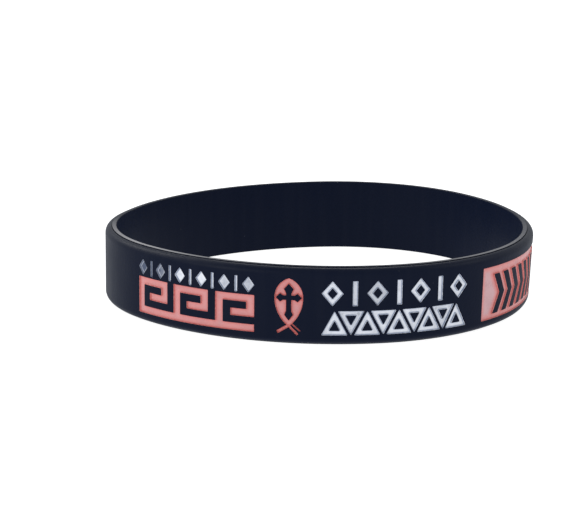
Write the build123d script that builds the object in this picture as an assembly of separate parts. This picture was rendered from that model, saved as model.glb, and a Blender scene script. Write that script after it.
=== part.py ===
from build123d import *
from collections import namedtuple
import math
import os

# A moulded silicone wristband: one closed soft loop with figures sunk into its outer face, and a
# film of coloured ink on the floor of each figure. Millimetres and degrees.
# The origin is at the bottom centre of the band. +Z is up and the front is at -Y. A station is a
# length along the outer face from the front, to the right if positive. A rise is a height above
# the band's mid-height.

QUARTER_TURN = 90.0
FULL_TURN = 4 * QUARTER_TURN

# Wall of the band
INNER_GIRTH = 205.0
WALL = 1.8
BAND_HEIGHT = 12.0
SHOULDER_RADIUS = 1.1
RIM_STEP = 0.14
INNER_EDGE_RADIUS = 0.15

# Plan of the band: six tangent arcs, tight and flat in turn, as the soft loop lies out of round
ARC_COUNT = 6
TIGHT_DIRECTION = 71.6
LOBE_SWING = 5.6
OVAL_DIRECTION = -53.0
OVAL_SWING = 3.5
FRONT = -QUARTER_TURN

# Sunken figures and the ink on their floors
SINK_DEPTH = 0.35
INK_THICKNESS = 0.15
INK_CLEARANCE = 0.02
TOOL_MARGIN = 0.5

# Row of small lozenges and bars, and the key frieze under it
LEFT_START = -32.4
LEFT_LENGTH = 21.7
BEAD_RISE = 2.9
BEAD_HEIGHT = 2.5
BEAD_WIDTH = 1.95
BEAD_BAR_WIDTH = 0.45
BEAD_COUNT = 6
KEY_RISE = -1.5
KEY_HEIGHT = 5.7
KEY_UNITS = 3

# Upright fish with a raised cross
FISH_STATION = -5.4
FISH_RISE = 1.3
FISH_HALF_WIDTH = 2.18
FISH_TOP = 3.0
FISH_DROP = 4.45

# Rows of open lozenges and of open triangles
MIDDLE_START = -0.5
MIDDLE_LENGTH = 23.8
RING_RISE = 2.1
RING_HEIGHT = 3.85
RING_WIDTH = 3.3
RING_COUNT = 4
RING_BAR_WIDTH = 0.8
STROKE = 0.7
TRIANGLE_RISE = -2.45
TRIANGLE_HEIGHT = 3.75
TRIANGLE_BASE = 4.0
TRIANGLE_COUNT = 9

# Long sunken panel with raised chevrons
PANEL_START = 26.85
PANEL_LENGTH = 32.0
PANEL_RISE = -0.25
PANEL_HEIGHT = 8.4
CHEVRON_HEIGHT = 6.35
CHEVRON_STROKE = 1.5
CHEVRON_TIP = 1.7
CHEVRON_GAP = 1.1
CHEVRON_MARGIN = 1.65
CHEVRON_DROP = 0.25

# Bars of one unit of the key frieze, in columns and rows of its grid
KEY_COLUMNS = 6
KEY_ROWS = 5
KeyBar = namedtuple("KeyBar", "left right bottom top")
KEY_BARS = [
    KeyBar(left=0, right=1, bottom=0, top=KEY_ROWS),
    KeyBar(left=0, right=5, bottom=KEY_ROWS - 1, top=KEY_ROWS),
    KeyBar(left=4, right=5, bottom=2, top=KEY_ROWS),
    KeyBar(left=2, right=5, bottom=2, top=3),
]

# Legs of the fish. Across and width are shares of its half width, down and length of its drop
Leg = namedtuple("Leg", "across down direction length width")
FISH_LEGS = [
    Leg(across=0, down=0.957, direction=212, length=0.455, width=0.215),
    Leg(across=0, down=0.957, direction=-45, length=0.44, width=0.165),
    Leg(across=0.15, down=0.872, direction=-40, length=0.416, width=0.095),
]

# Arms of the raised cross. Reach is a share of the fish's room that way from its widest line, and
# the other lengths are shares of its half width. Neck and flare are half widths of the arm, and
# their backs are how far behind its tip the neck ends and the arm is widest.
CrossArm = namedtuple("CrossArm", "direction room reach neck flare neck_back flare_back")
CROSS_ARMS = [
    CrossArm(0, FISH_HALF_WIDTH, reach=0.905, neck=0.16, flare=0.295, neck_back=0.5, flare_back=0.29),
    CrossArm(90, FISH_TOP, reach=0.717, neck=0.18, flare=0.335, neck_back=0.69, flare_back=0.375),
    CrossArm(180, FISH_HALF_WIDTH, reach=0.905, neck=0.16, flare=0.295, neck_back=0.5, flare_back=0.29),
    CrossArm(270, FISH_DROP, reach=0.787, neck=0.18, flare=0.3, neck_back=0.69, flare_back=0.385),
]

Arc = namedtuple("Arc", "centre radius middle")
ARC_SPAN = FULL_TURN / ARC_COUNT


def unit(direction):
    """Unit vector of a direction in degrees from +X."""
    angle = math.radians(direction)
    return Vector(math.cos(angle), math.sin(angle))


def arc_number(direction):
    """Number of the plan's arc that faces a direction."""
    return math.floor((direction - TIGHT_DIRECTION) / ARC_SPAN + 0.5)


def centred_plan():
    """The arcs of the outer face in plan, in order round the band, with its box centred."""
    mean_radius = INNER_GIRTH / (2 * math.pi) + WALL
    arcs = []
    for k in range(ARC_COUNT):
        middle = TIGHT_DIRECTION + ARC_SPAN * k
        lobe = -LOBE_SWING if k % 2 == 0 else LOBE_SWING
        oval = OVAL_SWING * math.cos(math.radians(2 * (middle - OVAL_DIRECTION)))
        radius = mean_radius + lobe + oval
        centre = Vector(0, 0)
        if arcs:
            joint = unit(middle - ARC_SPAN / 2)
            centre = arcs[-1].centre + joint * (arcs[-1].radius - radius)
        arcs.append(Arc(centre, radius, middle))

    def reach(direction):
        arc = arcs[arc_number(direction) % ARC_COUNT]
        return arc.centre.dot(unit(direction)) + arc.radius

    front, right, back, left = [reach(FRONT + QUARTER_TURN * k) for k in range(4)]
    box_centre = Vector((right - left) / 2, (back - front) / 2)
    return [Arc(arc.centre - box_centre, arc.radius, arc.middle) for arc in arcs]


PLAN = centred_plan()


def face_point(direction, inset=0.0):
    """Point of the plan where the outer face, or its offset inwards, faces a direction."""
    arc = PLAN[arc_number(direction) % ARC_COUNT]
    return arc.centre + unit(direction) * (arc.radius - inset)


def direction_at(station):
    """Direction that the outer face has at a station, found arc by arc from the front."""
    way = 1 if station > 0 else -1
    direction = FRONT
    to_go = abs(station)
    k = arc_number(direction)
    while True:
        radius = PLAN[k % ARC_COUNT].radius
        arc_end = TIGHT_DIRECTION + ARC_SPAN * (k + way / 2)
        length = math.radians(abs(arc_end - direction)) * radius
        if to_go <= length:
            return direction + way * math.degrees(to_go / radius)
        to_go -= length
        direction = arc_end
        k += way


def face_run(start, end, inset):
    """Arcs along the outer face, or its offset inwards, between two directions."""
    joints = [TIGHT_DIRECTION + ARC_SPAN * (k - 0.5) for k in range(-ARC_COUNT, 2 * ARC_COUNT)]
    cuts = [start, *[joint for joint in joints if start < joint < end], end]
    runs = []
    for a, b in zip(cuts, cuts[1:]):
        middle = (a + b) / 2
        # The ends are reached along the arc of the run's own middle, so that a joint is exact
        arc = PLAN[arc_number(middle) % ARC_COUNT]
        points = [arc.centre + unit(d) * (arc.radius - inset) for d in (a, middle, b)]
        runs.append(ThreePointArc(*points))
    return runs


def shell(near, far):
    """The band's whole height of wall between two insets from the outer face."""
    first = TIGHT_DIRECTION - ARC_SPAN / 2
    outer, inner = [make_face(face_run(first, first + FULL_TURN, inset)) for inset in (near, far)]
    return extrude(outer - inner, BAND_HEIGHT)


def run_block(start, end, bottom, top, near, far):
    """Block of wall between two stations, two rises and two insets from the outer face."""
    first, last = direction_at(start), direction_at(end)
    edges = face_run(first, last, near) + face_run(first, last, far)
    for direction in (first, last):
        edges.append(Line(face_point(direction, near), face_point(direction, far)))
    return Pos(0, 0, BAND_HEIGHT / 2 + bottom) * extrude(make_face(edges), top - bottom)


def taken_in(outline, clearance):
    """An outline with its sides moved inwards by a clearance, or outwards if that is negative."""
    return offset(outline, -clearance, kind=Kind.INTERSECTION) if clearance else outline


def prism(outline, station, rise):
    """An outline drawn flat, as a prism square to the face at a station."""
    direction = direction_at(station)
    normal = unit(direction)
    point = face_point(direction)
    plane = Plane(
        origin=(point.X, point.Y, BAND_HEIGHT / 2 + rise),
        x_dir=(-normal.Y, normal.X, 0),
        z_dir=(normal.X, normal.Y, 0),
    )
    return extrude(plane * outline, WALL, both=True)


def wall_section():
    """Cross-section of the wall, with the outer face on X = 0 and mid-height on Y = 0."""
    land = BAND_HEIGHT / 2
    shoulder_end = land - RIM_STEP
    shoulder_start = shoulder_end - SHOULDER_RADIUS
    edge_x = INNER_EDGE_RADIUS - WALL
    edge_y = land - INNER_EDGE_RADIUS
    rim = Curve() + [
        CenterArc((-SHOULDER_RADIUS, shoulder_start), SHOULDER_RADIUS, 0, QUARTER_TURN),
        Line((-SHOULDER_RADIUS, shoulder_end), (-SHOULDER_RADIUS, land)),
        Line((-SHOULDER_RADIUS, land), (edge_x, land)),
        CenterArc((edge_x, edge_y), INNER_EDGE_RADIUS, QUARTER_TURN, QUARTER_TURN),
    ]
    faces = [
        Line((0, -shoulder_start), (0, shoulder_start)),
        Line((-WALL, -edge_y), (-WALL, edge_y)),
    ]
    return make_face(rim + mirror(rim, about=Plane.XZ) + faces)


def band_blank():
    """The band before its figures are sunk: the section turned about the centre of each arc."""
    section = wall_section()
    sectors = []
    for arc in PLAN:
        start = unit(arc.middle - ARC_SPAN / 2)
        centre = (arc.centre.X, arc.centre.Y, BAND_HEIGHT / 2)
        plane = Plane(origin=centre, x_dir=(start.X, start.Y, 0), z_dir=(start.Y, -start.X, 0))
        placed = plane * Pos(arc.radius, 0) * section
        sectors.append(revolve(placed, Axis(centre, (0, 0, 1)), ARC_SPAN))
    return Part() + sectors


def lozenge(width, height):
    """Upright lozenge about the origin."""
    corners = [(width / 2, 0), (0, height / 2), (-width / 2, 0), (0, -height / 2)]
    return make_face(Polyline(*corners, close=True))


def triangle(base, height, up):
    """Triangle with its box about the origin, pointing up or down."""
    tip = height / 2 if up else -height / 2
    return make_face(Polyline((-base / 2, -tip), (base / 2, -tip), (0, tip), close=True))


def ring_of(outline):
    """A stroke that runs round the inside of an outline."""
    return outline - taken_in(outline, STROKE)


def chevron():
    """Chevron that points along the face, with its box's left middle at the origin."""
    half = CHEVRON_HEIGHT / 2
    left = [(0, -half), (CHEVRON_TIP, 0), (0, half)]
    right = [(x + CHEVRON_STROKE, y) for x, y in reversed(left)]
    return make_face(Polyline(*left, *right, close=True))


def fish_body():
    """Pointed oval between two pairs of tangent arcs, with its widest line on the X axis."""
    top_radius = (FISH_TOP**2 + FISH_HALF_WIDTH**2) / (2 * FISH_HALF_WIDTH)
    drop_radius = (FISH_DROP**2 + FISH_HALF_WIDTH**2) / (2 * FISH_HALF_WIDTH)
    top_angle = math.degrees(math.asin(FISH_TOP / top_radius))
    drop_angle = math.degrees(math.asin(FISH_DROP / drop_radius))
    side = Curve() + [
        CenterArc((FISH_HALF_WIDTH - top_radius, 0), top_radius, 0, top_angle),
        CenterArc((FISH_HALF_WIDTH - drop_radius, 0), drop_radius, -drop_angle, drop_angle),
    ]
    return make_face(side + mirror(side, about=Plane.YZ))


def fish_cross():
    """Cross whose arms flare and end in points, with its crossing at the origin."""
    cross = Sketch()
    for arm in CROSS_ARMS:
        tip = arm.reach * arm.room
        neck = arm.neck * FISH_HALF_WIDTH
        flare = arm.flare * FISH_HALF_WIDTH
        neck_end = tip - arm.neck_back * FISH_HALF_WIDTH
        flare_end = tip - arm.flare_back * FISH_HALF_WIDTH
        edge = [(-neck, neck), (neck_end, neck), (flare_end, flare)]
        mirrored = [(x, -y) for x, y in reversed(edge)]
        outline = make_face(Polyline(*edge, (tip, 0), *mirrored, close=True))
        cross += Rot(0, 0, arm.direction) * outline
    return cross


def fish(clearance):
    """The fish with its legs, less the raised cross, taken in by a clearance."""
    outline = taken_in(fish_body(), clearance)
    for leg in FISH_LEGS:
        start = Pos(leg.across * FISH_HALF_WIDTH, -leg.down * FISH_DROP)
        length = leg.length * FISH_DROP
        bar = Rectangle(length, leg.width * FISH_HALF_WIDTH, align=(Align.MIN, Align.CENTER))
        outline += start * Rot(0, 0, leg.direction) * taken_in(bar, clearance)
    return outline - taken_in(fish_cross(), -clearance)


def key_tool(near, far, clearance):
    """The key frieze as a solid between two insets, taken in by a clearance."""
    columns = KEY_UNITS * KEY_COLUMNS - 1
    column = LEFT_LENGTH / columns
    row = KEY_HEIGHT / KEY_ROWS
    foot = KEY_RISE - KEY_HEIGHT / 2
    bars = [KeyBar(left=0, right=columns, bottom=0, top=1)]
    for k in range(KEY_UNITS):
        first = k * KEY_COLUMNS
        bars += [bar._replace(left=bar.left + first, right=bar.right + first) for bar in KEY_BARS]
    blocks = [
        run_block(
            LEFT_START + bar.left * column + clearance,
            LEFT_START + bar.right * column - clearance,
            foot + bar.bottom * row + clearance,
            foot + bar.top * row - clearance,
            near,
            far,
        )
        for bar in bars
    ]
    return Part() + blocks


def panel_tool(near, far, clearance):
    """The panel round its chevrons as a solid between two insets, taken in by a clearance."""
    panel = run_block(
        PANEL_START + clearance,
        PANEL_START + PANEL_LENGTH - clearance,
        PANEL_RISE - PANEL_HEIGHT / 2 + clearance,
        PANEL_RISE + PANEL_HEIGHT / 2 - clearance,
        near,
        far,
    )
    width = CHEVRON_STROKE + CHEVRON_TIP
    pitch = CHEVRON_STROKE + CHEVRON_GAP
    room = PANEL_LENGTH - 2 * CHEVRON_MARGIN - width
    count = math.floor(room / pitch) + 1
    spare = room - (count - 1) * pitch
    outline = taken_in(Pos(-width / 2, 0) * chevron(), -clearance)
    for k in range(count):
        middle = PANEL_START + CHEVRON_MARGIN + (spare + width) / 2 + k * pitch
        panel -= prism(outline, middle, PANEL_RISE - CHEVRON_DROP)
    return panel


def spaced_row(start, length, widths):
    """Middle stations of marks of given widths, set with equal gaps over a length."""
    gap = (length - sum(widths)) / (len(widths) - 1)
    middles = []
    left = start
    for width in widths:
        middles.append(left + width / 2)
        left += width + gap
    return middles


def row_marks(name, start, length, rise, mark, mark_width, mark_count, bar_width, height):
    """Marks of a row with an upright bar between each two: name, outline, station and rise."""
    bar = Rectangle(bar_width, height)
    widths = [mark_width, bar_width] * (mark_count - 1) + [mark_width]
    marks = []
    for k, middle in enumerate(spaced_row(start, length, widths)):
        kind, outline = ("bar", bar) if k % 2 else ("lozenge", mark)
        marks.append((f"{name}_{kind}_ink_{k // 2 + 1}", outline, middle, rise))
    return marks


def triangle_marks():
    """The row of open triangles, pointing up and down in turn."""
    pitch = (MIDDLE_LENGTH - TRIANGLE_BASE) / (TRIANGLE_COUNT - 1)
    marks = []
    for k in range(TRIANGLE_COUNT):
        outline = ring_of(triangle(TRIANGLE_BASE, TRIANGLE_HEIGHT, up=k % 2 == 0))
        middle = MIDDLE_START + TRIANGLE_BASE / 2 + k * pitch
        marks.append((f"triangle_ink_{k + 1}", outline, middle, TRIANGLE_RISE))
    return marks


def flat_marks(clearance):
    """Every mark that is drawn flat, taken in by a clearance: name, outline, station and rise."""
    beads = row_marks(
        "bead", LEFT_START, LEFT_LENGTH, BEAD_RISE, lozenge(BEAD_WIDTH, BEAD_HEIGHT),
        BEAD_WIDTH, BEAD_COUNT, BEAD_BAR_WIDTH, BEAD_HEIGHT,
    )
    rings = row_marks(
        "ring", MIDDLE_START, MIDDLE_LENGTH, RING_RISE, ring_of(lozenge(RING_WIDTH, RING_HEIGHT)),
        RING_WIDTH, RING_COUNT, RING_BAR_WIDTH, RING_HEIGHT,
    )
    marks = [
        (name, taken_in(outline, clearance), station, rise)
        for name, outline, station, rise in beads + rings + triangle_marks()
    ]
    return marks + [("fish_ink", fish(clearance), FISH_STATION, FISH_RISE)]


ink_floor = SINK_DEPTH - INK_CLEARANCE
ink_top = ink_floor - INK_THICKNESS
sunk_shell = shell(-TOOL_MARGIN, SINK_DEPTH)
ink_shell = shell(ink_top, ink_floor)

pockets = [key_tool(-TOOL_MARGIN, SINK_DEPTH, 0), panel_tool(-TOOL_MARGIN, SINK_DEPTH, 0)]
parts = {
    "key_ink": key_tool(ink_top, ink_floor, INK_CLEARANCE),
    "panel_ink": panel_tool(ink_top, ink_floor, INK_CLEARANCE),
}
for name, outline, station, rise in flat_marks(0):
    pockets.append(prism(outline, station, rise) & sunk_shell)
for name, outline, station, rise in flat_marks(INK_CLEARANCE):
    parts[name] = prism(outline, station, rise) & ink_shell
parts["band"] = band_blank() - pockets

os.makedirs("parts", exist_ok=True)
for name, part in parts.items():
    export_step(part, f"parts/{name}.step")
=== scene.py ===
import math
from collections import namedtuple

import bpy
import numpy as np
from mathutils import Matrix, Vector
from mathutils.geometry import delaunay_2d_cdt


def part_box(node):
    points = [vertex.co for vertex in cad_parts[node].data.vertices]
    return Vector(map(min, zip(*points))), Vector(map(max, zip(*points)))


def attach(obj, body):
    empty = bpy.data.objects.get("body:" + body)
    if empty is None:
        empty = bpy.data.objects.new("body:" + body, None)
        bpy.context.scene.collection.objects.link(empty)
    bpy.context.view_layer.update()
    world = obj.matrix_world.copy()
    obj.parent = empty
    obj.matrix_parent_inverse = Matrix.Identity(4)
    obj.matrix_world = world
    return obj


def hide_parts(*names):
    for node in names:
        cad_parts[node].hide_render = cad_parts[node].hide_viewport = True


# A dark silicone wristband lying on its rim, with inked figures sunk into its face.
# Lengths are in millimetres and become metres where meshes are made, but those of the floor and the
# lights are in metres. A station is a length along the outer face from the front, to the right if
# positive, a rise is a height above the band's mid-height, and an inset is a depth into the wall
# from the outer face. Angles are in degrees.

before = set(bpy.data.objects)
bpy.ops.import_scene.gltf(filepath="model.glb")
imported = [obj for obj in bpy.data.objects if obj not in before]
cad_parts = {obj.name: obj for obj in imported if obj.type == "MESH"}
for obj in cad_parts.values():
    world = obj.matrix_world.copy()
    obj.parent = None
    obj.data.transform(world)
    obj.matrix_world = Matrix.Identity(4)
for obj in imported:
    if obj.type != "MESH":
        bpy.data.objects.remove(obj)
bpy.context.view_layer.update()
MM = 0.001
QUARTER_TURN = 90.0
HALF_TURN = 180.0
FULL_TURN = 360.0

# Wall of the band
INNER_GIRTH = 205.0
WALL = 1.8
BAND_HEIGHT = (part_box("band")[1].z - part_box("band")[0].z) / MM
SHOULDER_RADIUS = 1.1
SHOULDER_STOP = 80.0
RIM_STEP = 0.14
STEP_ROUNDING = RIM_STEP / 3
INNER_EDGE_RADIUS = 0.15

# Fine groove between the shoulder and the step up to the flat land. Its points are shares of its
# depth in front of the step and below the shoulder's end, with the angle that the surface faces.
RIM_GROOVE = 0.12
GROOVE_LIP_ANGLE = 110.0
GroovePoint = namedtuple("GroovePoint", "front below angle")
GROOVE_POINTS = [
    GroovePoint(front=0.6, below=1.0, angle=120.0),
    GroovePoint(front=0.2, below=1.0, angle=60.0),
    GroovePoint(front=0.0, below=0.6, angle=0.0),
]

# Plan of the band: six tangent arcs, tight and flat in turn
ARC_COUNT = 6
TIGHT_DIRECTION = 71.6
LOBE_SWING = 5.6
OVAL_DIRECTION = -53.0
OVAL_SWING = 3.5
FRONT = -QUARTER_TURN
ARC_SPAN = FULL_TURN / ARC_COUNT

# The right of the band leans out at the top, by this much from rim to rim
LEAN = 0.5
LEAN_DIRECTION = -10.0
LEAN_SPREAD = 60.0

# Walls of the sunken figures: slope from the face, fillet at the floor, rounding of corners seen
# from the front, and the width over which the ink eases from the wall to its level
SINK_DEPTH = 0.35
LIP_RADIUS = 0.04
Wall = namedtuple("Wall", "draft fillet corner ink_bend")
PLAIN_WALL = Wall(draft=76.0, fillet=0.05, corner=0.1, ink_bend=0.08)
FISH_WALL = Wall(draft=80.0, fillet=0.03, corner=0.05, ink_bend=0.03)

# Ink in the figures: the depths of its edge on the walls and of its level over the floor, its
# thickness on the walls, and its clearance from the pocket
INK_EDGE = 0.03
INK_LEVEL = 0.25
INK_FILM = 0.01
INK_CLEARANCE = 0.004

# Marks whose ink is thin, from 0 where it is full to 1 where it is little more than a stain
THIN_INKS = {
    "bead_lozenge_ink_1": 1.0,
    "bead_bar_ink_1": 0.95,
    "bead_lozenge_ink_2": 0.85,
    "bead_bar_ink_2": 0.25,
    "bead_lozenge_ink_5": 0.2,
    "bead_lozenge_ink_6": 0.35,
    "ring_bar_ink_1": 0.2,
    "ring_lozenge_ink_2": 0.4,
    "triangle_ink_2": 0.2,
    "triangle_ink_8": 0.15,
    "fish_ink": 0.1,
}

# Row of small lozenges and bars, and the key frieze under it
LEFT_START = -32.4
LEFT_LENGTH = 21.7
BEAD_RISE = 2.9
BEAD_HEIGHT = 2.5
BEAD_WIDTH = 1.95
BEAD_BAR_WIDTH = 0.45
BEAD_COUNT = 6
KEY_RISE = -1.5
KEY_HEIGHT = 5.7
KEY_UNITS = 3
KEY_COLUMNS = 6
KEY_ROWS = 5

# Upright fish with a raised cross
FISH_STATION = -5.4
FISH_RISE = 1.3
FISH_HALF_WIDTH = 2.18
FISH_TOP = 3.0
FISH_DROP = 4.45

# Rows of open lozenges and of open triangles
MIDDLE_START = -0.5
MIDDLE_LENGTH = 23.8
RING_RISE = 2.1
RING_HEIGHT = 3.85
RING_WIDTH = 3.3
RING_COUNT = 4
RING_BAR_WIDTH = 0.8
STROKE = 0.7
TRIANGLE_RISE = -2.45
TRIANGLE_HEIGHT = 3.75
TRIANGLE_BASE = 4.0
TRIANGLE_COUNT = 9

# Long sunken panel with raised chevrons
PANEL_START = 26.85
PANEL_LENGTH = 32.0
PANEL_RISE = -0.25
PANEL_HEIGHT = 8.4
CHEVRON_HEIGHT = 6.35
CHEVRON_STROKE = 1.5
CHEVRON_TIP = 1.7
CHEVRON_GAP = 1.1
CHEVRON_MARGIN = 1.65
CHEVRON_DROP = 0.25

# Bars of one unit of the key frieze, in columns and rows of its grid
KeyBar = namedtuple("KeyBar", "left right bottom top")
KEY_BARS = [
    KeyBar(left=0, right=1, bottom=0, top=KEY_ROWS),
    KeyBar(left=0, right=5, bottom=KEY_ROWS - 1, top=KEY_ROWS),
    KeyBar(left=4, right=5, bottom=2, top=KEY_ROWS),
    KeyBar(left=2, right=5, bottom=2, top=3),
]

# Legs of the fish. Across and width are shares of its half width, down and length of its drop
Leg = namedtuple("Leg", "across down direction length width")
FISH_LEGS = [
    Leg(across=0, down=0.957, direction=212, length=0.455, width=0.215),
    Leg(across=0, down=0.957, direction=-45, length=0.44, width=0.165),
    Leg(across=0.15, down=0.872, direction=-40, length=0.416, width=0.095),
]

# Arms of the raised cross. Reach is a share of the fish's room that way from its widest line, and
# the other lengths are shares of its half width. Neck and flare are half widths of the arm, and
# their backs are how far behind its tip the neck ends and the arm is widest.
CrossArm = namedtuple("CrossArm", "direction room reach neck flare neck_back flare_back")
SIDE_ARM = CrossArm(
    0, FISH_HALF_WIDTH, reach=0.905, neck=0.16, flare=0.295, neck_back=0.5, flare_back=0.29,
)
CROSS_ARMS = [
    SIDE_ARM,
    CrossArm(90, FISH_TOP, reach=0.717, neck=0.18, flare=0.335, neck_back=0.69, flare_back=0.375),
    SIDE_ARM._replace(direction=180),
    CrossArm(270, FISH_DROP, reach=0.787, neck=0.18, flare=0.3, neck_back=0.69, flare_back=0.385),
]

# Wear of the silicone on its shoulders, flat lands and inner edges, painted lighter grey together
# with a painted highlight on the lands and inner edges and a painted sheen on the shoulders, with the
# shares of it on the lower rim and the right. Towards the front and towards either side it grows
# from a start by a gain.
SHOULDER_WEAR_AND_SHEEN = 0.01
LAND_WEAR_AND_HIGHLIGHT = 0.95
LOWER_WEAR_AND_HIGHLIGHT = 0.25
RIGHT_WEAR_AND_HIGHLIGHT = 0.5
FRONT_WEAR_AND_HIGHLIGHT_START = 0.15
FRONT_WEAR_AND_HIGHLIGHT_GAIN = 1.1
SIDE_WEAR_AND_HIGHLIGHT_START = -0.35
SIDE_WEAR_AND_HIGHLIGHT_GAIN = 1.6

# Numbers that the points of the meshes carry for the materials
INK_MEASURE = "edge_distance"
THIN_MEASURE = "thinness"
SILICONE_MEASURE = "wear"

# Mesh density
COLUMN_COUNT = 432
FACE_ROWS = 16
INNER_ROWS = 12
SHOULDER_STEPS = 8
INNER_EDGE_STEPS = 5
LIP_STEPS = 4
FILLET_STEPS = 3
INK_STEPS = 7
FISH_DROP_STEPS = 12
FISH_TOP_STEPS = 10
LONGEST_SIDE = 0.5
FACE_SPACING = 0.6
INK_SPACING = 0.3
GRID_CLEARANCE = 0.45

# Corners of outlines: turns under the least one stay sharp, and a rounding takes at most its share
# of the sides that it joins
LEAST_TURN = 20.0
CORNER_SHARE = 0.4
CORNER_STEP = 18.0
FEWEST_CORNER_STEPS = 2

# Tolerances and modes of the mesh work
WELDS_PER_MM = 1e5
SEAM_TOLERANCE = 1e-6
FILL_TOLERANCE = 1e-7
UNION_TOLERANCE = 1e-6
STRAIGHT_SINE = 1e-4
GRID_BATCH = 400
ALL_TRIANGLES = 0
TRIANGLES_IN_FACES = 1


# Plan of the band

Arc = namedtuple("Arc", "centre radius")


def unit(direction):
    """Unit vectors of directions in degrees from +X."""
    angle = np.radians(direction)
    return np.stack([np.cos(angle), np.sin(angle)], axis=-1)


def arc_numbers(directions):
    """Numbers of the plan's arcs that face directions."""
    return np.floor((directions - TIGHT_DIRECTION) / ARC_SPAN + 0.5).astype(int) % ARC_COUNT


def centred_plan():
    """The arcs of the outer face in plan, in order round the band, with its box centred."""
    mean_radius = INNER_GIRTH / (2 * math.pi) + WALL
    arcs = []
    for k in range(ARC_COUNT):
        middle = TIGHT_DIRECTION + ARC_SPAN * k
        lobe = -LOBE_SWING if k % 2 == 0 else LOBE_SWING
        radius = mean_radius + lobe + OVAL_SWING * math.cos(math.radians(2 * (middle - OVAL_DIRECTION)))
        centre = np.zeros(2)
        if arcs:
            joint = unit(middle - ARC_SPAN / 2)
            centre = arcs[-1].centre + joint * (arcs[-1].radius - radius)
        arcs.append(Arc(centre, radius))

    def reach(direction):
        arc = arcs[arc_numbers(np.float64(direction))]
        return arc.centre @ unit(direction) + arc.radius

    front, right, back, left = [reach(FRONT + QUARTER_TURN * k) for k in range(4)]
    box_centre = np.array([(right - left) / 2, (back - front) / 2])
    return [Arc(arc.centre - box_centre, arc.radius) for arc in arcs]


PLAN = centred_plan()
GIRTH = sum(math.radians(ARC_SPAN) * arc.radius for arc in PLAN)


def station_table():
    """Joints of the plan's arcs over more than a turn each way: their stations and directions."""
    directions = TIGHT_DIRECTION + ARC_SPAN * (np.arange(-2 * ARC_COUNT, 2 * ARC_COUNT + 1) - 0.5)
    numbers = range(-2 * ARC_COUNT, 2 * ARC_COUNT)
    lengths = [math.radians(ARC_SPAN) * PLAN[k % ARC_COUNT].radius for k in numbers]
    stations = np.concatenate([[0], np.cumsum(lengths)])
    stations -= np.interp(FRONT, directions, stations)
    return stations, directions


JOINT_STATIONS, JOINT_DIRECTIONS = station_table()


def directions_at(stations):
    """Directions that the outer face has at stations."""
    return np.interp(stations, JOINT_STATIONS, JOINT_DIRECTIONS)


def placed(stations, rises, insets):
    """Points in metres of the frame at stations, rises and insets, as an array of rows."""
    directions = directions_at(stations)
    numbers = arc_numbers(directions)
    centres = np.array([arc.centre for arc in PLAN])[numbers]
    radii = np.array([arc.radius for arc in PLAN])[numbers]
    turns = np.abs(np.mod(directions - LEAN_DIRECTION + HALF_TURN, FULL_TURN) - HALF_TURN)
    share = np.clip(np.cos(np.radians(turns * QUARTER_TURN / LEAN_SPREAD)), 0, 1)
    leans = LEAN * share * rises / BAND_HEIGHT
    plan = centres + unit(directions) * (radii - insets + leans)[:, None]
    return np.column_stack([plan, rises + BAND_HEIGHT / 2]) * MM


def turned(stations, along, up, out):
    """Normals in the frame from their parts along the face, up and out of the face."""
    outward = unit(directions_at(stations))
    tangent = np.column_stack([-outward[:, 1], outward[:, 0]])
    plan = tangent * along[:, None] + outward * out[:, None]
    return np.column_stack([plan, up])


class Skin:
    """A mesh being gathered in unrolled form, whose coinciding points are welded at the end.

    Each point carries one number for the material, under the name of the measure.
    """

    def __init__(self, measure):
        self.measure = measure
        self.points = []
        self.normals = []
        self.values = []
        self.triangles = []
        self.count = 0

    def add(self, stations, rises, insets, along, up, out, value):
        """Adds points with normals and the measure's values, and returns their numbers."""
        rows = np.broadcast_arrays(stations, rises, insets, along, up, out, value)
        rows = [np.asarray(row, float).ravel() for row in rows]
        self.points.append(np.column_stack(rows[:3]))
        self.normals.append(np.column_stack(rows[3:6]))
        self.values.append(rows[6])
        numbers = np.arange(self.count, self.count + len(rows[0]))
        self.count += len(rows[0])
        return numbers

    def strip(self, first, second, closed):
        """Triangles between two rows of points, the second on the left of the first."""
        ahead = np.roll(np.arange(len(first)), -1)
        keep = slice(None) if closed else slice(None, -1)
        a, b = first[keep], first[ahead][keep]
        c, d = second[ahead][keep], second[keep]
        self.triangles.append(np.column_stack([a, b, c]))
        self.triangles.append(np.column_stack([a, c, d]))

    def mesh_object(self, name, material):
        """The finished object, with its normals as they were given."""
        points = np.concatenate(self.points)
        normals = np.concatenate(self.normals)
        triangles = np.concatenate(self.triangles)
        stations = np.mod(points[:, 0] + GIRTH / 2, GIRTH)
        stations[stations > GIRTH - SEAM_TOLERANCE] = 0
        keys = np.round(np.column_stack([stations, points[:, 1:]]) * WELDS_PER_MM).astype(np.int64)
        _, first, weld = np.unique(keys, axis=0, return_index=True, return_inverse=True)
        weld = weld.ravel()
        welded_normals = np.zeros((len(first), 3))
        np.add.at(welded_normals, weld, normals)
        welded_normals /= np.linalg.norm(welded_normals, axis=1)[:, None]
        points = points[first]
        triangles = weld[triangles]
        distinct = (triangles != np.roll(triangles, 1, axis=1)).all(axis=1)
        triangles = triangles[distinct]
        mesh = bpy.data.meshes.new(name)
        mesh.from_pydata(placed(*points.T), [], triangles.tolist())
        mesh.polygons.foreach_set("use_smooth", [True] * len(triangles))
        mesh.normals_split_custom_set_from_vertices(turned(points[:, 0], *welded_normals.T))
        values = np.concatenate(self.values)[first]
        mesh.attributes.new(self.measure, "FLOAT", "POINT").data.foreach_set("value", values)
        mesh.materials.append(material)
        piece = bpy.data.objects.new(name, mesh)
        bpy.context.scene.collection.objects.link(piece)
        return piece


# Outlines in the unrolled face: loops whose figure lies on the left of their way round

# Each point of a loop stands on an arc, or on a side, which is an arc with no bend. Its normal faces
# out of the figure. Where an offset leaves nothing of its arc, the point goes along the miter.
Loop = namedtuple("Loop", "centre normal miter bend")


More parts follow.
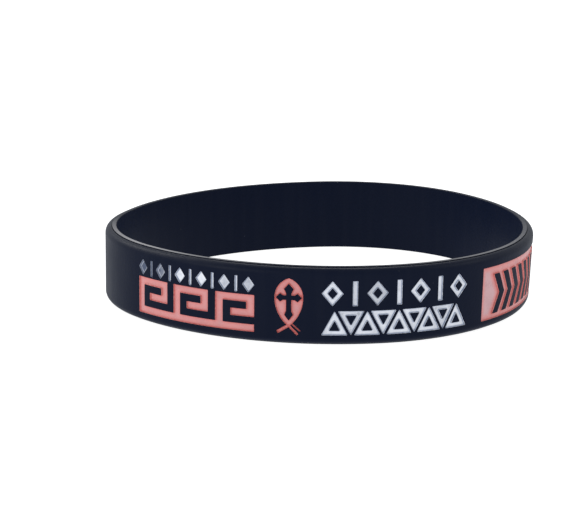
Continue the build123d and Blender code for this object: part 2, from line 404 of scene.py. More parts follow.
def loop_of(corners, radius):
    """A loop through corners, each rounded by an arc, with its long sides cut in short ones."""
    corners = np.asarray(corners, float)
    rows = []
    count = len(corners)
    ends = []
    for k in range(count):
        corner = corners[k]
        before = corners[k - 1] - corner
        after = corners[(k + 1) % count] - corner
        before_length, after_length = np.linalg.norm(before), np.linalg.norm(after)
        before, after = before / before_length, after / after_length
        normals = np.array([(-before[1], before[0]), (after[1], -after[0])])
        turn = math.atan2(-before[0] * after[1] + before[1] * after[0], -before @ after)
        miter = normals.sum(axis=0) / (1 + normals[0] @ normals[1])
        if abs(turn) < math.radians(LEAST_TURN):
            rows.append([(corner, miter, miter, 0)])
            ends.append((corner, corner, normals))
            continue
        longest = CORNER_SHARE * min(before_length, after_length)
        trim = min(radius * math.tan(abs(turn) / 2), longest)
        bend = trim / math.tan(turn / 2)
        centre = corner - miter * bend
        steps = max(FEWEST_CORNER_STEPS, math.ceil(abs(math.degrees(turn)) / CORNER_STEP))
        arc = []
        for j in range(steps + 1):
            angle = math.atan2(normals[0][1], normals[0][0]) + turn * j / steps
            normal = np.array([math.cos(angle), math.sin(angle)])
            arc.append((centre, normal, miter, bend))
        rows.append(arc)
        ends.append((corner + before * trim, corner + after * trim, normals))
    points = []
    for k in range(count):
        points += rows[k]
        start, normal = ends[k][1], ends[k][2][1]
        end = ends[(k + 1) % count][0]
        pieces = math.ceil(np.linalg.norm(end - start) / LONGEST_SIDE)
        for j in range(1, pieces):
            points.append((start + (end - start) * j / pieces, normal, normal, 0))
    return Loop(*[np.array(column) for column in zip(*points)])


def ring(loop, inward):
    """Points of a loop moved into the figure by a length, or out of it if that is negative."""
    reach = loop.bend - inward
    arc_holds = (reach * np.sign(loop.bend) >= 0)[:, None]
    return loop.centre + np.where(arc_holds, loop.normal, loop.miter) * reach[:, None]


def distances(points, outlines):
    """Least distances from points to the sides of outlines."""
    least = np.full(len(points), np.inf)
    for outline in outlines:
        for start, end in zip(outline, np.roll(outline, -1, axis=0)):
            side = end - start
            shares = np.clip((points - start) @ side / (side @ side), 0, 1)
            gaps = np.linalg.norm(points - start - shares[:, None] * side, axis=1)
            least = np.minimum(least, gaps)
    return least


def inside(points, outline):
    """Which points lie inside a closed outline."""
    x, y = points[:, 0][:, None], points[:, 1][:, None]
    ahead = np.roll(outline, -1, axis=0)
    crosses = (outline[:, 1] > y) != (ahead[:, 1] > y)
    rise = np.where(ahead[:, 1] == outline[:, 1], 1, ahead[:, 1] - outline[:, 1])
    at = outline[:, 0] + (y - outline[:, 1]) / rise * (ahead[:, 0] - outline[:, 0])
    return (crosses & (x < at)).sum(axis=1) % 2 == 1


def triangulated(outlines, extra):
    """Points and triangles, counter-clockwise, that fill closed outlines and use extra points."""
    points = np.concatenate([*outlines, extra])
    edges = []
    start = 0
    for outline in outlines:
        numbers = np.arange(start, start + len(outline))
        edges += zip(numbers.tolist(), np.roll(numbers, -1).tolist())
        start += len(outline)
    points = [Vector(point) for point in points]
    points, _, triangles, *_ = delaunay_2d_cdt(points, edges, [], ALL_TRIANGLES, FILL_TOLERANCE)
    return np.array([tuple(point) for point in points]), np.array(triangles)


def signed_area(outline):
    """Area inside an outline, positive if it runs counter-clockwise."""
    ahead = np.roll(outline, -1, axis=0)
    return (outline[:, 0] * ahead[:, 1] - ahead[:, 0] * outline[:, 1]).sum() / 2


def union(polygons):
    """The outlines round several overlapping polygons, outer ones counter-clockwise."""
    points = np.concatenate(polygons)
    faces = []
    start = 0
    for polygon in polygons:
        faces.append(list(range(start, start + len(polygon))))
        start += len(polygon)
    points = [Vector(point) for point in points]
    points, _, faces, *_ = delaunay_2d_cdt(points, [], faces, TRIANGLES_IN_FACES, UNION_TOLERANCE)
    sides = set()
    for face in faces:
        sides |= {(a, b) for a, b in zip(face, face[1:] + face[:1])}
    ahead = {a: b for a, b in sides if (b, a) not in sides}
    outlines = []
    while ahead:
        start = min(ahead)
        way = [start]
        while ahead[way[-1]] != start:
            way.append(ahead.pop(way[-1]))
        ahead.pop(way[-1])
        outline = np.array([tuple(points[number]) for number in way])
        before = outline - np.roll(outline, 1, axis=0)
        after = np.roll(outline, -1, axis=0) - outline
        cross = before[:, 0] * after[:, 1] - before[:, 1] * after[:, 0]
        lengths = np.linalg.norm(before, axis=1) * np.linalg.norm(after, axis=1)
        outlines.append(outline[np.abs(cross) > STRAIGHT_SINE * lengths])
    return outlines


def lozenge(width, height):
    """Corners of an upright lozenge about the origin."""
    return np.array([(width / 2, 0), (0, height / 2), (-width / 2, 0), (0, -height / 2)])


def triangle(base, height, up):
    """Corners of a triangle with its box about the origin, pointing up or down."""
    tip = height / 2 if up else -height / 2
    corners = np.array([(-base / 2, -tip), (base / 2, -tip), (0, tip)])
    return corners if up else corners[::-1]


def box(left, right, bottom, top):
    """Corners of an upright rectangle."""
    return np.array([(left, bottom), (right, bottom), (right, top), (left, top)])


def taken_in(corners, width):
    """Corners of a counter-clockwise polygon with its sides moved inwards."""
    sides = np.roll(corners, -1, axis=0) - corners
    sides /= np.linalg.norm(sides, axis=1)[:, None]
    normals = np.column_stack([-sides[:, 1], sides[:, 0]])
    before = np.roll(normals, 1, axis=0)
    miters = (before + normals) / (1 + (before * normals).sum(axis=1))[:, None]
    return corners + miters * width


def chevron():
    """Corners of a chevron that points along the face, with its box about the origin."""
    half = CHEVRON_HEIGHT / 2
    shift = (CHEVRON_STROKE + CHEVRON_TIP) / 2
    left = np.array([(0, half), (CHEVRON_TIP, 0), (0, -half)])
    right = left[::-1] + (CHEVRON_STROKE, 0)
    return np.concatenate([left, right]) - (shift, 0)


def fish_body():
    """Corners along a pointed oval between two pairs of tangent arcs."""
    side = []
    for reach, steps in ((-FISH_DROP, FISH_DROP_STEPS), (FISH_TOP, FISH_TOP_STEPS)):
        radius = (reach**2 + FISH_HALF_WIDTH**2) / (2 * FISH_HALF_WIDTH)
        angles = np.linspace(0, math.asin(reach / radius), steps + 1)
        arc = np.column_stack([
            FISH_HALF_WIDTH - radius + radius * np.cos(angles),
            radius * np.sin(angles),
        ])
        side.append(arc)
    right = np.concatenate([side[0][::-1], side[1][1:]])
    return np.concatenate([right, (right * (-1, 1))[::-1][1:-1]])


def fish_leg(leg):
    """Corners of one leg of the fish."""
    along = unit(leg.direction)
    across = np.array([-along[1], along[0]]) * leg.width * FISH_HALF_WIDTH / 2
    start = np.array([leg.across * FISH_HALF_WIDTH, -leg.down * FISH_DROP])
    end = start + along * leg.length * FISH_DROP
    return np.array([start - across, end - across, end + across, start + across])


def cross_arm(arm):
    """Corners of one arm of the cross, which flares and ends in a point."""
    tip = arm.reach * arm.room
    neck = arm.neck * FISH_HALF_WIDTH
    flare = arm.flare * FISH_HALF_WIDTH
    neck_end = tip - arm.neck_back * FISH_HALF_WIDTH
    flare_end = tip - arm.flare_back * FISH_HALF_WIDTH
    edge = [(-neck, -neck), (neck_end, -neck), (flare_end, -flare)]
    mirrored = [(x, -y) for x, y in reversed(edge)]
    corners = np.array([*edge, (tip, 0), *mirrored])
    along = unit(arm.direction)
    return corners @ np.array([along, (-along[1], along[0])])


# Figures: the outlines of each sunken mark with the islands that stand in it

Figure = namedtuple("Figure", "node slot outers islands wall")


def new_figure(node, slot, outers, islands=(), wall=PLAIN_WALL):
    """A figure whose outlines run counter-clockwise and whose islands run clockwise."""
    outers = [corners if signed_area(corners) > 0 else corners[::-1] for corners in outers]
    islands = [corners if signed_area(corners) < 0 else corners[::-1] for corners in islands]
    return Figure(node, slot, outers, islands, wall)


def spaced_row(start, length, widths):
    """Middle stations of marks of given widths, set with equal gaps over a length."""
    gap = (length - sum(widths)) / (len(widths) - 1)
    middles = []
    left = start
    for width in widths:
        middles.append(left + width / 2)
        left += width + gap
    return middles


def row_figures(name, start, length, rise, mark, stroke, mark_count, bar_width, bar_height):
    """Figures of a row: marks, open ones if they have a stroke, and a bar between each two."""
    bar = box(-bar_width / 2, bar_width / 2, -bar_height / 2, bar_height / 2)
    mark_width = np.ptp(mark[:, 0])
    widths = [mark_width, bar_width] * (mark_count - 1) + [mark_width]
    figures = []
    for k, middle in enumerate(spaced_row(start, length, widths)):
        place = (middle, rise)
        if k % 2:
            node = f"{name}_bar_ink_{k // 2 + 1}"
            figures.append(new_figure(node, "ink_white", [bar + place]))
            continue
        islands = [taken_in(mark, stroke) + place] if stroke else []
        node = f"{name}_lozenge_ink_{k // 2 + 1}"
        figures.append(new_figure(node, "ink_white", [mark + place], islands))
    return figures


def triangle_figures():
    """The row of open triangles, pointing up and down in turn."""
    pitch = (MIDDLE_LENGTH - TRIANGLE_BASE) / (TRIANGLE_COUNT - 1)
    figures = []
    for k in range(TRIANGLE_COUNT):
        corners = triangle(TRIANGLE_BASE, TRIANGLE_HEIGHT, up=k % 2 == 0)
        place = (MIDDLE_START + TRIANGLE_BASE / 2 + k * pitch, TRIANGLE_RISE)
        islands = [taken_in(corners, STROKE) + place]
        figures.append(new_figure(f"triangle_ink_{k + 1}", "ink_white", [corners + place], islands))
    return figures


def key_figure():
    """The key frieze, one outline round its bars."""
    columns = KEY_UNITS * KEY_COLUMNS - 1
    bars = [KeyBar(left=0, right=columns, bottom=0, top=1)]
    for k in range(KEY_UNITS):
        first = k * KEY_COLUMNS
        bars += [bar._replace(left=bar.left + first, right=bar.right + first) for bar in KEY_BARS]
    cell = (LEFT_LENGTH / columns, KEY_HEIGHT / KEY_ROWS)
    foot = (LEFT_START, KEY_RISE - KEY_HEIGHT / 2)
    return new_figure("key_ink", "ink_coral", union([box(*bar) * cell + foot for bar in bars]))


def fish_figure():
    """The fish with its legs and the raised cross."""
    place = (FISH_STATION, FISH_RISE)
    outers = union([fish_body(), *[fish_leg(leg) for leg in FISH_LEGS]])
    islands = union([cross_arm(arm) for arm in CROSS_ARMS])
    return new_figure(
        "fish_ink", "ink_coral", [outline + place for outline in outers],
        [outline + place for outline in islands], FISH_WALL,
    )


def panel_figure():
    """The long panel round its chevrons."""
    half = PANEL_HEIGHT / 2
    outer = box(PANEL_START, PANEL_START + PANEL_LENGTH, PANEL_RISE - half, PANEL_RISE + half)
    width = CHEVRON_STROKE + CHEVRON_TIP
    pitch = CHEVRON_STROKE + CHEVRON_GAP
    room = PANEL_LENGTH - 2 * CHEVRON_MARGIN - width
    count = math.floor(room / pitch) + 1
    spare = room - (count - 1) * pitch
    first = PANEL_START + CHEVRON_MARGIN + (spare + width) / 2
    islands = [chevron() + (first + k * pitch, PANEL_RISE - CHEVRON_DROP) for k in range(count)]
    return new_figure("panel_ink", "ink_coral", [outer], islands)


def all_figures():
    """Every sunken figure of the band."""
    beads = row_figures(
        "bead", start=LEFT_START, length=LEFT_LENGTH, rise=BEAD_RISE,
        mark=lozenge(BEAD_WIDTH, BEAD_HEIGHT), stroke=0, mark_count=BEAD_COUNT,
        bar_width=BEAD_BAR_WIDTH, bar_height=BEAD_HEIGHT,
    )
    rings = row_figures(
        "ring", start=MIDDLE_START, length=MIDDLE_LENGTH, rise=RING_RISE,
        mark=lozenge(RING_WIDTH, RING_HEIGHT), stroke=STROKE, mark_count=RING_COUNT,
        bar_width=RING_BAR_WIDTH, bar_height=RING_HEIGHT,
    )
    return [*beads, key_figure(), fish_figure(), *rings, *triangle_figures(), panel_figure()]


# Profiles across the edge of a figure: steps into it with their depth and slope

Step = namedtuple("Step", "inward depth slope")


def pocket_profile(wall):
    """From the lip over the drafted wall to the floor."""
    steps = []
    for slope in np.linspace(0, wall.draft, LIP_STEPS + 1):
        angle = math.radians(slope)
        inward = LIP_RADIUS * (math.sin(angle) - 1)
        steps.append(Step(inward, LIP_RADIUS * (1 - math.cos(angle)), slope))
    tilt = math.radians(wall.draft)
    foot = wall_inward(wall, SINK_DEPTH - wall.fillet * (1 - math.cos(tilt)))
    centre = foot + wall.fillet * math.sin(tilt)
    for slope in np.linspace(wall.draft, 0, FILLET_STEPS + 1):
        angle = math.radians(slope)
        depth = SINK_DEPTH - wall.fillet * (1 - math.cos(angle))
        steps.append(Step(centre - wall.fillet * math.sin(angle), depth, slope))
    return steps


def wall_inward(wall, depth):
    """How far into a figure its wall stands at a depth."""
    tilt = math.radians(wall.draft)
    lip_depth = LIP_RADIUS * (1 - math.cos(tilt))
    return LIP_RADIUS * (math.sin(tilt) - 1) + (depth - lip_depth) / math.tan(tilt)


def ink_top_profile(wall):
    """From the ink's upper edge down the wall, and in one curve on to the ink's level."""
    start = np.array((wall_inward(wall, INK_EDGE) + INK_FILM, INK_EDGE))
    bend = np.array((wall_inward(wall, INK_LEVEL) + INK_FILM, INK_LEVEL))
    end = bend + (wall.ink_bend, 0)
    steps = []
    for share in np.linspace(0, 1, INK_STEPS + 1):
        rest = 1 - share
        inward, depth = start * rest**2 + bend * 2 * share * rest + end * share**2
        along, down = (bend - start) * rest + (end - bend) * share
        steps.append(Step(inward, depth, math.degrees(math.atan2(down, along))))
    return steps


def ink_foot_profile(wall):
    """Along the pocket's wall and floor under the ink, a little clear of them."""
    first = Step(wall_inward(wall, INK_EDGE), INK_EDGE, wall.draft)
    fillet = pocket_profile(wall)[-(FILLET_STEPS + 1):]
    steps = []
    for step in [first, *fillet]:
        angle = math.radians(step.slope)
        inward = step.inward + INK_CLEARANCE * math.sin(angle)
        steps.append(Step(inward, step.depth - INK_CLEARANCE * math.cos(angle), step.slope))
    return steps


def profile_rows(skin, loop, profile, facing=1):
    """Rows of points round a loop at each step of a profile, joined by strips."""
    rows = []
    for step in profile:
        points = ring(loop, step.inward)
        angle = math.radians(step.slope)
        side = -loop.normal * math.sin(angle) * facing
        out = math.cos(angle) * facing
        value = step.inward if skin.measure == INK_MEASURE else 0
        rows.append(skin.add(*points.T, step.depth, *side.T, out, value))
    for first, second in zip(rows, rows[1:]):
        if facing > 0:
            skin.strip(first, second, closed=True)
        else:
            skin.strip(second, first, closed=True)
    return rows


def spread_points(bounds, spacing, clear_of, clearance):
    """Grid points inside bounds that stay clear of other points."""
    low, high = bounds
    counts = np.maximum(np.ceil((high - low) / spacing).astype(int), 1)
    axes = [np.linspace(low[k], high[k], counts[k] + 1)[1:-1] for k in range(2)]
    grid = np.stack(np.meshgrid(*axes), axis=-1).reshape(-1, 2)
    kept = []
    for chunk in np.array_split(grid, max(1, len(grid) // GRID_BATCH)):
        if len(chunk):
            gaps = np.linalg.norm(chunk[:, None] - clear_of[None], axis=2).min(axis=1)
            kept.append(chunk[gaps > clearance])
    return np.concatenate(kept) if kept else np.zeros((0, 2))


def fill(skin, outers, islands, depth, facing=1, spacing=FACE_SPACING, edges=()):
    """Flat triangles at a depth, inside the outers and outside the islands.

    The value of each point is its distance from the edges, if there are any.
    """
    loops = [*outers, *islands]
    rims = np.concatenate(loops)
    bounds = rims.min(axis=0), rims.max(axis=0)
    extra = spread_points(bounds, spacing, rims, GRID_CLEARANCE * spacing)
    points, triangles = triangulated(loops, extra)
    middles = points[triangles].mean(axis=1)
    keep = np.zeros(len(triangles), bool)
    for outline in outers:
        keep |= inside(middles, outline)
    for outline in islands:
        keep &= ~inside(middles, outline)
    values = distances(points, edges) if edges else 0
    numbers = skin.add(*points.T, depth, 0, 0, facing, values)
    triangles = triangles[keep]
    skin.triangles.append(numbers[triangles if facing > 0 else triangles[:, ::-1]])


# Geometry of the band and of each ink film

RimPoint = namedtuple("RimPoint", "inset rise angle wear")


def rim_profile():
    """Section of the wall from the top of the face over the rim to the inner wall."""
    land = BAND_HEIGHT / 2
    shoulder_end = land - RIM_STEP

    def on_shoulder(direction, angle, wear):
        reach = unit(direction) * SHOULDER_RADIUS
        inset = SHOULDER_RADIUS - reach[0]
        return RimPoint(inset, shoulder_end - SHOULDER_RADIUS + reach[1], angle, wear)

    rows = []
    # The shoulder's grey is a faint painted sheen, strongest halfway round it, together with its wear
    for angle in np.linspace(0, SHOULDER_STOP, SHOULDER_STEPS + 1):
        rows.append(on_shoulder(angle, angle, SHOULDER_WEAR_AND_SHEEN * math.sin(math.radians(2 * angle))))
    lip = math.degrees(math.acos(RIM_GROOVE / SHOULDER_RADIUS))
    rows.append(on_shoulder(lip, GROOVE_LIP_ANGLE, 0))
    for point in GROOVE_POINTS:
        inset = SHOULDER_RADIUS - point.front * RIM_GROOVE
        rows.append(RimPoint(inset, shoulder_end - point.below * RIM_GROOVE, point.angle, 0))
    corner = STEP_ROUNDING * (1 - math.sqrt(0.5))
    land_middle = (SHOULDER_RADIUS + WALL - INNER_EDGE_RADIUS) / 2
    # The flat land and its rounded step are painted lighter grey for wear and a painted highlight
    rows += [
        RimPoint(SHOULDER_RADIUS, land - STEP_ROUNDING, 0, 0),
        RimPoint(SHOULDER_RADIUS + corner, land - corner, QUARTER_TURN / 2, LAND_WEAR_AND_HIGHLIGHT),
        RimPoint(SHOULDER_RADIUS + STEP_ROUNDING, land, QUARTER_TURN, LAND_WEAR_AND_HIGHLIGHT),
        RimPoint(land_middle, land, QUARTER_TURN, LAND_WEAR_AND_HIGHLIGHT),
    ]
    # The inner edge carries a painted highlight with its wear, fading as it turns down to the inner
    # wall
    for angle in np.linspace(QUARTER_TURN, HALF_TURN, INNER_EDGE_STEPS + 1):
        reach = unit(angle) * INNER_EDGE_RADIUS
        inset = WALL - INNER_EDGE_RADIUS - reach[0]
        wear = LAND_WEAR_AND_HIGHLIGHT * math.sin(math.radians(angle))**2
        rows.append(RimPoint(inset, land - INNER_EDGE_RADIUS + reach[1], angle, wear))
    return rows


def wear_and_highlight_shares(directions):
    """Shares of the rim's rubbed grey and painted highlight where the face has directions."""
    to_right, to_back = unit(directions).T
    front = np.clip(FRONT_WEAR_AND_HIGHLIGHT_START - FRONT_WEAR_AND_HIGHLIGHT_GAIN * to_back, 0, 1)
    sideways = np.clip(SIDE_WEAR_AND_HIGHLIGHT_START + SIDE_WEAR_AND_HIGHLIGHT_GAIN * np.abs(to_right), 0, 1)
    return front * sideways * np.where(to_right < 0, 1, RIGHT_WEAR_AND_HIGHLIGHT)


def figure_loops(figure):
    """The loops of a figure's outers, and those of its islands."""
    return [
        [loop_of(corners, figure.wall.corner) for corners in outlines]
        for outlines in (figure.outers, figure.islands)
    ]


def fill_level(skin, outers, islands, step, **settings):
    """Fills a figure at a step of its profile, between its outer loops and its islands."""
    rims = [[ring(loop, step.inward) for loop in loops] for loops in (outers, islands)]
    fill(skin, *rims, step.depth, **settings)


def add_pocket(skin, figure):
    """Adds the pocket and the islands of a figure, and returns its holes in the face."""
    pocket = pocket_profile(figure.wall)
    lip, floor = pocket[0], pocket[-1]
    outers, islands = figure_loops(figure)
    for loop in [*outers, *islands]:
        profile_rows(skin, loop, pocket)
    fill_level(skin, outers, islands, floor)
    for loop in islands:
        fill(skin, [ring(loop, lip.inward)], [], lip.depth)
    return [ring(loop, lip.inward) for loop in outers]


def face_border(columns, top):
    """The outline of the unrolled face, counter-clockwise."""
    rises = np.linspace(-top, top, FACE_ROWS + 1)[1:-1]
    return np.concatenate([
        np.column_stack([columns, np.full_like(columns, -top)]),
        np.column_stack([np.full_like(rises, columns[-1]), rises]),
        np.column_stack([columns[::-1], np.full_like(columns, top)]),
        np.column_stack([np.full_like(rises, columns[0]), rises[::-1]]),
    ])


def band_skin(figures):
    """The whole skin of the band, with its pockets."""
    skin = Skin(SILICONE_MEASURE)
    columns = np.linspace(-GIRTH / 2, GIRTH / 2, COLUMN_COUNT + 1)
    over = rim_profile()
    inner_rises = np.linspace(over[-1].rise, -over[-1].rise, INNER_ROWS + 1)[1:-1]
    inner = [RimPoint(WALL, rise, HALF_TURN, 0) for rise in inner_rises]
    under = [
        RimPoint(point.inset, -point.rise, -point.angle, point.wear * LOWER_WEAR_AND_HIGHLIGHT)
        for point in reversed(over)
    ]
    shares = wear_and_highlight_shares(directions_at(columns))
    rows = []
    for point in [*over, *inner, *under]:
        out, up = unit(point.angle)
        rows.append(skin.add(columns, point.rise, point.inset, 0, up, out, point.wear * shares))
    for first, second in zip(rows, rows[1:]):
        skin.strip(first, second, closed=False)

    holes = []
    for figure in figures:
        holes += add_pocket(skin, figure)
    fill(skin, [face_border(columns, top=over[0].rise)], holes, 0)
    return skin


def ink_skin(figure):
    """One closed film of ink in its figure."""
    skin = Skin(INK_MEASURE)
    top, foot = ink_top_profile(figure.wall), ink_foot_profile(figure.wall)
    outers, islands = figure_loops(figure)
    for loop in [*outers, *islands]:
        top_rows = profile_rows(skin, loop, top)
        foot_rows = profile_rows(skin, loop, foot, facing=-1)
        skin.strip(foot_rows[0], top_rows[0], closed=True)
    edges = [*figure.outers, *figure.islands]
    fill_level(skin, outers, islands, top[-1], spacing=INK_SPACING, edges=edges)
    fill_level(skin, outers, islands, foot[-1], facing=-1)
    return skin


# Materials

# Range that most of a noise lies in, and the numbers of a colour mix's sockets
NOISE_LOW = 0.3
NOISE_HIGH = 0.7
MIX_SHARE = 0
MIX_FIRST = 6
MIX_SECOND = 7
MIX_RESULT = 2


class Surface:
    """One material: its main shader, and short ways to add and join other nodes."""

    def __init__(self, name, **sockets):
        self.material = bpy.data.materials.new(name)
        self.material.use_nodes = True
        self.tree = self.material.node_tree
        self.shader = self.tree.nodes["Principled BSDF"]
        self.join(self.shader, sockets)
        metres = self.tree.nodes.new("ShaderNodeTexCoord").outputs["Object"]
        self.place = self.stretched(metres, (1 / MM, 1 / MM, 1 / MM))

    def join(self, node, sockets):
        """Sets a node's inputs, each to a value or to another node's output."""
        for name, value in sockets.items():
            socket = node.inputs[name.replace("_", " ") if isinstance(name, str) else name]
            if isinstance(value, bpy.types.NodeSocket):
                self.tree.links.new(value, socket)
            else:
                socket.default_value = value

    def node(self, kind, sockets, **settings):
        """A new node with its settings and inputs."""
        made = self.tree.nodes.new(kind)
        for name, value in settings.items():
            setattr(made, name, value)
        self.join(made, sockets)
        return made

    def math(self, operation, *values):
        """The result of a sum on one or more numbers."""
        return self.node("ShaderNodeMath", dict(enumerate(values)), operation=operation).outputs[0]

    def scaled(self, value, factor):
        """A number times a factor."""
        return self.math("MULTIPLY", value, factor)

    def stretched(self, place, scale):
        """A place with its three parts multiplied."""
        return self.node("ShaderNodeVectorMath", {0: place, 1: scale}, operation="MULTIPLY").outputs[0]

    def measure(self, name):
        """The number that each point of the mesh carries."""
        return self.node("ShaderNodeAttribute", {}, attribute_name=name).outputs["Fac"]

    def noise(self, size, detail, stretch=(1, 1, 1), roughness=0.5):
        """Soft noise from 0 to 1, with blotches of a size."""
        place = self.stretched(self.place, stretch)
        sockets = {"Vector": place, "Scale": 1 / size, "Detail": detail, "Roughness": roughness}
        return self.node("ShaderNodeTexNoise", sockets).outputs["Fac"]

    def between(self, value, low, high, to_low=0.0, to_high=1.0):
        """A number moved from one range to another, and kept in it."""
        sockets = {
            "Value": value, "From Min": low, "From Max": high, "To Min": to_low, "To Max": to_high,
        }
        return self.node("ShaderNodeMapRange", sockets).outputs["Result"]

    def spread(self, noise, low, high):
        """Noise moved from the range that it mostly fills to another."""
        return self.between(noise, NOISE_LOW, NOISE_HIGH, low, high)

    def mix(self, share, first, second):
        """A colour between two colours."""
        sockets = {MIX_SHARE: share}
        for number, colour in ((MIX_FIRST, first), (MIX_SECOND, second)):
            linked = isinstance(colour, bpy.types.NodeSocket)
            sockets[number] = colour if linked else (*colour, 1)
        return self.node("ShaderNodeMix", sockets, data_type="RGBA").outputs[MIX_RESULT]

    def ramp(self, value, stops):
        """The colour that a table of stops gives a number."""
        last = stops[-1].at
        made = self.node("ShaderNodeValToRGB", {0: self.math("DIVIDE", value, last)})
        elements = made.color_ramp.elements
        while len(elements) < len(stops):
            elements.new(position=0.5)
        for element, stop in zip(elements, stops):
            element.position = stop.at / last
            element.color = (*stop.colour, 1)
        return made.outputs["Color"]

    def bump(self, heights):
        """Gives the shader the relief of patterns, each with its height in millimetres."""
        total, *others = [self.scaled(pattern, height) for pattern, height in heights]
        for other in others:
            total = self.math("ADD", total, other)
        relief = self.node("ShaderNodeBump", {"Height": total, "Distance": MM, "Strength": 1.0})
        self.join(self.shader, {"Normal": relief.outputs["Normal"]})


Stop = namedtuple("Stop", "at colour")

# Colour of the ink by its distance from the edge of the figure: a painted highlight at the lip, a
# dark band of painted shade down the steep wall, where the ink is also thin, full on the floor, and
# for coral a paler, greyer tone in the middle of wide floors, partly a painted sheen
WHITE_STOPS = [
    Stop(at=0.0, colour=(0.95, 0.96, 0.98)),
    Stop(at=0.02, colour=(0.55, 0.59, 0.69)),
    Stop(at=0.05, colour=(0.19, 0.23, 0.34)),
    Stop(at=0.09, colour=(0.28, 0.33, 0.44)),
    Stop(at=0.14, colour=(0.68, 0.71, 0.78)),
    Stop(at=0.28, colour=(0.80, 0.82, 0.88)),
    Stop(at=0.80, colour=(0.66, 0.70, 0.78)),
]
CORAL_STOPS = [
    Stop(at=0.0, colour=(0.86, 0.42, 0.38)),
    Stop(at=0.02, colour=(0.68, 0.24, 0.22)),
    Stop(at=0.05, colour=(0.54, 0.12, 0.11)),
    Stop(at=0.09, colour=(0.56, 0.135, 0.125)),
    Stop(at=0.14, colour=(0.62, 0.215, 0.205)),
    Stop(at=0.50, colour=(0.65, 0.265, 0.26)),
    Stop(at=1.00, colour=(0.58, 0.345, 0.36)),
]

# Colours of the ink where it is thin
THIN_WHITE = (0.06, 0.08, 0.14)
THIN_CORAL = (0.40, 0.19, 0.20)

# Distances from the edge of the figure between which the ink's floor begins, and how far blotches
# there go towards the thin colour
INK_FLOOR_START = 0.12
INK_FLOOR_REACHED = 0.3
DEEPEST_BLOTCH = 0.3

# Colours of the silicone, of its dust and painted highlight, and of its specks
NAVY = (0.0018, 0.0047, 0.0168)
DUST_AND_HIGHLIGHT = (0.45, 0.44, 0.45)
SPECK = (0.05, 0.055, 0.07)

# The most dust that streaks hold, the spacing of the specks and their reach as a share of that, and
# how much rougher full wear is
MOST_HAZE = 0.003
SPECK_SPACING = 2.4
SPECK_REACH = 0.028
WORN_ROUGHNESS = 0.1


def silicone_material():
    """Dark blue moulded silicone: satin, finely pitted, greyer and rougher where it is rubbed, and
    greyer too where a highlight and sheen are painted on its rim.
    """
    surface = Surface("navy_silicone", IOR=1.41, Specular_IOR_Level=0.15)
    streaks = surface.noise(size=1.6, detail=3, stretch=(1, 1, 0.06))
    clouds = surface.noise(size=5.0, detail=2)
    grain = surface.noise(size=0.09, detail=2)
    pits = surface.noise(size=0.35, detail=3)

    patches = surface.spread(pits, low=0.75, high=1.1)
    # The rim's rubbed grey and painted highlight, broken up in patches
    wear = surface.scaled(surface.measure(SILICONE_MEASURE), patches)
    haze = surface.scaled(surface.between(streaks, low=0.45, high=0.75), MOST_HAZE)
    dusted_and_highlighted = surface.mix(surface.math("ADD", wear, haze), NAVY, DUST_AND_HIGHLIGHT)
    sockets = {"Vector": surface.place, "Scale": 1 / SPECK_SPACING}
    cells = surface.node("ShaderNodeTexVoronoi", sockets)
    speck = surface.math("LESS_THAN", cells.outputs["Distance"], SPECK_REACH)
    satin = surface.spread(clouds, low=0.38, high=0.44)
    surface.join(surface.shader, {
        "Base Color": surface.mix(speck, dusted_and_highlighted, SPECK),
        "Roughness": surface.math("ADD", satin, surface.scaled(wear, WORN_ROUGHNESS)),
    })
    surface.bump([(grain, 0.003), (streaks, 0.02), (pits, 0.022)])
    return surface.material


def ink_material(name, stops, thin, wall_loss):
    """Satin ink, blotched on the floor of a figure.

    Thinness turns it to the thin colour, in full on the floor and by the wall loss on the walls.
    """
    surface = Surface(name, IOR=1.5, Specular_IOR_Level=0.5)
    wobble = surface.spread(surface.noise(size=0.4, detail=2), low=-0.015, high=0.015)
    distance = surface.math("ADD", surface.measure(INK_MEASURE), wobble)
    blotches = surface.noise(size=1.3, detail=3, roughness=0.6)
    thinness = surface.measure(THIN_MEASURE)

    blotched = surface.between(blotches, low=0.45, high=0.7, to_high=DEEPEST_BLOTCH)
    on_floor = surface.between(distance, INK_FLOOR_START, INK_FLOOR_REACHED)
    floor_share = surface.math("MULTIPLY", on_floor, surface.math("ADD", blotched, thinness))
    share = surface.math("MAXIMUM", floor_share, surface.scaled(thinness, wall_loss))
    # The ramp paints a highlight at the lip and shade down the wall into the ink's colour
    colour = surface.ramp(distance, stops)
    surface.join(surface.shader, {
        "Base Color": surface.mix(surface.math("MINIMUM", share, 1.0), colour, thin),
        "Roughness": surface.spread(blotches, low=0.18, high=0.32),
    })
    waves = surface.noise(size=0.9, detail=2)
    grain = surface.noise(size=0.12, detail=2)
    surface.bump([(waves, 0.03), (grain, 0.004)])
    return surface.material


MATERIALS = {
    "silicone": silicone_material(),
    "ink_white": ink_material("white_ink", WHITE_STOPS, THIN_WHITE, wall_loss=0.6),
    "ink_coral": ink_material("coral_ink", CORAL_STOPS, THIN_CORAL, wall_loss=0.0),
}


# Pieces: the band, and a film of ink for each figure


def dress(piece, node):
    """Puts a piece in the place of its node, on the one body."""
    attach(piece, "root")
    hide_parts(node)


figures = all_figures()
band = band_skin(figures).mesh_object("band_silicone", MATERIALS["silicone"])
dress(band, "band")
for figure in figures:
    film = ink_skin(figure).mesh_object(f"{figure.node}_film", MATERIALS[figure.slot])
    thinness = film.data.attributes.new(THIN_MEASURE, "FLOAT", "POINT")
    values = np.full(len(film.data.vertices), THIN_INKS.get(figure.node, 0))
    thinness.data.foreach_set("value", values)
    dress(film, figure.node)


# Camera, fitted to the photograph

# The frame's width, the focal length and the place of the centre are in pixels
FRAME_WIDTH = 583
FOCAL_PIXELS = 2055.3
CAMERA_DISTANCE = 339.6
CAMERA_ELEVATION = 13.155
CAMERA_ROLL = 0.872
CENTRE_RIGHT = 27.79
CENTRE_UP = 7.51


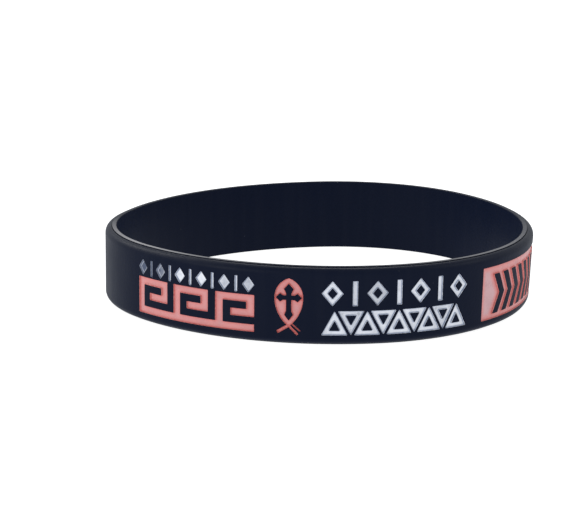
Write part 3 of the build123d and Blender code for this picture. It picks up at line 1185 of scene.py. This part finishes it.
def add_camera():
    """The camera at the photograph's angle to the band."""
    elevation = math.radians(CAMERA_ELEVATION)
    roll = math.radians(CAMERA_ROLL)
    back = Vector((0, -math.cos(elevation), math.sin(elevation)))
    level_right = Vector((1, 0, 0))
    level_up = back.cross(level_right)
    right = level_right * math.cos(roll) + level_up * math.sin(roll)
    up = level_up * math.cos(roll) - level_right * math.sin(roll)
    data = bpy.data.cameras.new("camera")
    data.lens = FOCAL_PIXELS / FRAME_WIDTH * data.sensor_width
    data.shift_x = -CENTRE_RIGHT / FRAME_WIDTH
    data.shift_y = -CENTRE_UP / FRAME_WIDTH
    camera = bpy.data.objects.new("camera", data)
    place = Vector((0, 0, BAND_HEIGHT / 2 * MM)) + back * CAMERA_DISTANCE * MM
    turn = Matrix((right, up, back)).transposed().to_4x4()
    camera.matrix_world = Matrix.Translation(place) @ turn
    bpy.context.scene.collection.objects.link(camera)
    bpy.context.scene.camera = camera


add_camera()


# Floor and light

FLOOR_HALF_WIDTH = 3.0
FLOOR_COLOUR = (0.4, 0.4, 0.4)
FLOOR_ROUGHNESS = 0.8
FLOOR_GLOW = 0.92
WORLD_COLOUR = (0.94, 0.97, 1.0)
WORLD_STRENGTH = 0.66

# Square lights round the band, in metres and watts
SOFT_LIGHT_SIZE = 0.3
SoftLight = namedtuple("SoftLight", "name place power")
SOFT_LIGHTS = [
    SoftLight("back_left", place=(-0.50, 0.35, 0.51), power=1.4),
    SoftLight("front_left", place=(-0.57, -0.50, 0.25), power=1.0),
    SoftLight("left", place=(-0.66, 0.0, 0.46), power=0.4),
    SoftLight("back", place=(0.0, 0.57, 0.57), power=1.0),
    SoftLight("right", place=(0.66, 0.0, 0.46), power=0.5),
]


def add_floor():
    """A wide pale floor, which glossy faces don't mirror."""
    half = FLOOR_HALF_WIDTH
    mesh = bpy.data.meshes.new("floor")
    corners = [(*corner, 0) for corner in box(-half, half, -half, half)]
    mesh.from_pydata(corners, [], [(0, 1, 2, 3)])
    surface = Surface("pale_floor", Base_Color=(*FLOOR_COLOUR, 1), Roughness=FLOOR_ROUGHNESS)
    surface.join(surface.shader, {"Emission Color": (1, 1, 1, 1), "Emission Strength": FLOOR_GLOW})
    mesh.materials.append(surface.material)
    floor = bpy.data.objects.new("floor", mesh)
    floor.visible_glossy = False
    bpy.context.scene.collection.objects.link(floor)


def add_light(light):
    """A flat soft light that faces the band."""
    data = bpy.data.lights.new(light.name, "AREA")
    data.size = SOFT_LIGHT_SIZE
    data.energy = light.power
    made = bpy.data.objects.new(light.name, data)
    made.location = light.place
    made.rotation_euler = (-Vector(light.place)).to_track_quat("-Z", "Y").to_euler()
    made.visible_camera = False
    bpy.context.scene.collection.objects.link(made)


def add_world():
    """Even light from all round."""
    world = bpy.data.worlds.new("world")
    world.use_nodes = True
    background = world.node_tree.nodes["Background"]
    background.inputs["Color"].default_value = (*WORLD_COLOUR, 1)
    background.inputs["Strength"].default_value = WORLD_STRENGTH
    bpy.context.scene.world = world


add_floor()
for light in SOFT_LIGHTS:
    add_light(light)
add_world()
bpy.context.scene.view_settings.view_transform = "Standard"
